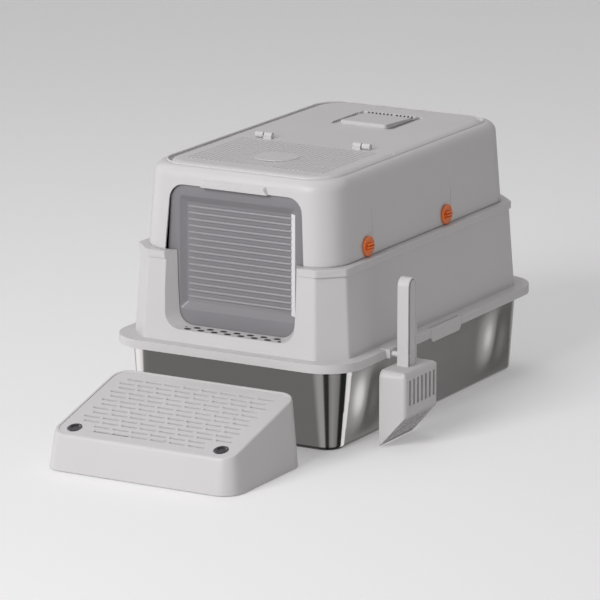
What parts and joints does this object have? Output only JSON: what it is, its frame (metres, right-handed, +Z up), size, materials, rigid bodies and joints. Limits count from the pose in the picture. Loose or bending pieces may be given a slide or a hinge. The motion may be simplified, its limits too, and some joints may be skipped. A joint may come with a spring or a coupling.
{
  "type": "covered litter box",
  "caption": "Covered litter box: steel pan, plastic surround, hood with flip lid, swing door, roof filter, turn knobs, scoop on a hook and a slotted step.",
  "frame": {"origin": "middle of the steel pan's underside, on the floor", "axes": "-Y is the entry side, +X is to the right seen from the entry side, +Z is up"},
  "size_m": [0.488, 0.944, 0.432],
  "materials": {
    "pan_steel": "satin",
    "housing": "satin",
    "inner": "satin",
    "door": "satin",
    "knob": "satin",
    "pin_steel": "satin",
    "carbon": "matte",
    "plug": "gloss",
    "foot": "matte"
  },
  "bodies": {
    "pan": {"steel_pan": "pan_steel"},
    "surround": {"surround": "housing", "latch_pin_right": "pin_steel", "latch_pin_left": "pin_steel", "scoop_hook": "housing"},
    "hood": {"hood": "housing", "lid_pin_left": "pin_steel", "lid_pin_right": "pin_steel", "door_rod": "pin_steel", "filter_basket": "inner"},
    "lid": {"roof_lid": "housing"},
    "door": {"door_flap": "door"},
    "filter": {"filter_cover": "housing", "carbon_filter": "carbon"},
    "latch_right": {"latch_right": "housing"},
    "latch_left": {"latch_left": "housing"},
    "scoop": {"scoop": "housing"},
    "step": {"step_base": "housing", "step_feet": "foot"},
    "tread": {"step_grate": "housing", "step_plugs": "plug"},
    "knob_front_right": {"knob_front_right": "knob", "cam_front_right": "inner"},
    "knob_front_left": {"knob_front_left": "knob", "cam_front_left": "inner"},
    "knob_rear_right": {"knob_rear_right": "knob", "cam_rear_right": "inner"},
    "knob_rear_left": {"knob_rear_left": "knob", "cam_rear_left": "inner"}
  },
  "joints": [
    {"name": "surround_lift", "type": "slide", "parent": "pan", "child": "surround", "axis": [0, 0, 1], "range_m": [0, 0.15]},
    {"name": "hood_lift", "type": "slide", "parent": "surround", "child": "hood", "axis": [0, 0, 1], "range_m": [0, 0.2]},
    {"name": "lid_hinge", "type": "hinge", "parent": "hood", "child": "lid", "pos_m": [0, -0.05, 0.4272], "axis": [-1, 0, 0], "range_deg": [0, 105]},
    {"name": "door_swing", "type": "hinge", "parent": "hood", "child": "door", "pos_m": [0, -0.2866, 0.395], "axis": [1, 0, 0], "range_deg": [0, 60]},
    {"name": "filter_lift", "type": "slide", "parent": "hood", "child": "filter", "axis": [0, 0, 1], "range_m": [0, 0.06]},
    {"name": "latch_right_hinge", "type": "hinge", "parent": "surround", "child": "latch_right", "pos_m": [0.2118, 0, 0.1418], "axis": [0, -1, 0], "range_deg": [0, 50]},
    {"name": "latch_left_hinge", "type": "hinge", "parent": "surround", "child": "latch_left", "pos_m": [-0.2118, 0, 0.1418], "axis": [0, 1, 0], "range_deg": [0, 50]},
    {"name": "scoop_off", "type": "slide", "parent": "surround", "child": "scoop", "axis": [1, 0, 0], "range_m": [0, 0.08]},
    {"name": "step_slide", "type": "slide", "parent": "pan", "child": "step", "axis": [0, -1, 0], "range_m": [0, 0.1]},
    {"name": "tread_lift", "type": "slide", "parent": "step", "child": "tread", "axis": [0, 0, 1], "range_m": [0, 0.08]},
    {"name": "knob_front_right_turn", "type": "hinge", "parent": "hood", "child": "knob_front_right", "pos_m": [0.17574, -0.191, 0.3035], "axis": [0.9984, 0, 0.0563], "range_deg": [0, 90]},
    {"name": "knob_front_left_turn", "type": "hinge", "parent": "hood", "child": "knob_front_left", "pos_m": [-0.17574, -0.191, 0.3035], "axis": [-0.9984, 0, 0.0563], "range_deg": [0, 90]},
    {"name": "knob_rear_right_turn", "type": "hinge", "parent": "hood", "child": "knob_rear_right", "pos_m": [0.17574, 0.068, 0.3035], "axis": [0.9984, 0, 0.0563], "range_deg": [0, 90]},
    {"name": "knob_rear_left_turn", "type": "hinge", "parent": "hood", "child": "knob_rear_left", "pos_m": [-0.17574, 0.068, 0.3035], "axis": [-0.9984, 0, 0.0563], "range_deg": [0, 90]}
  ]
}
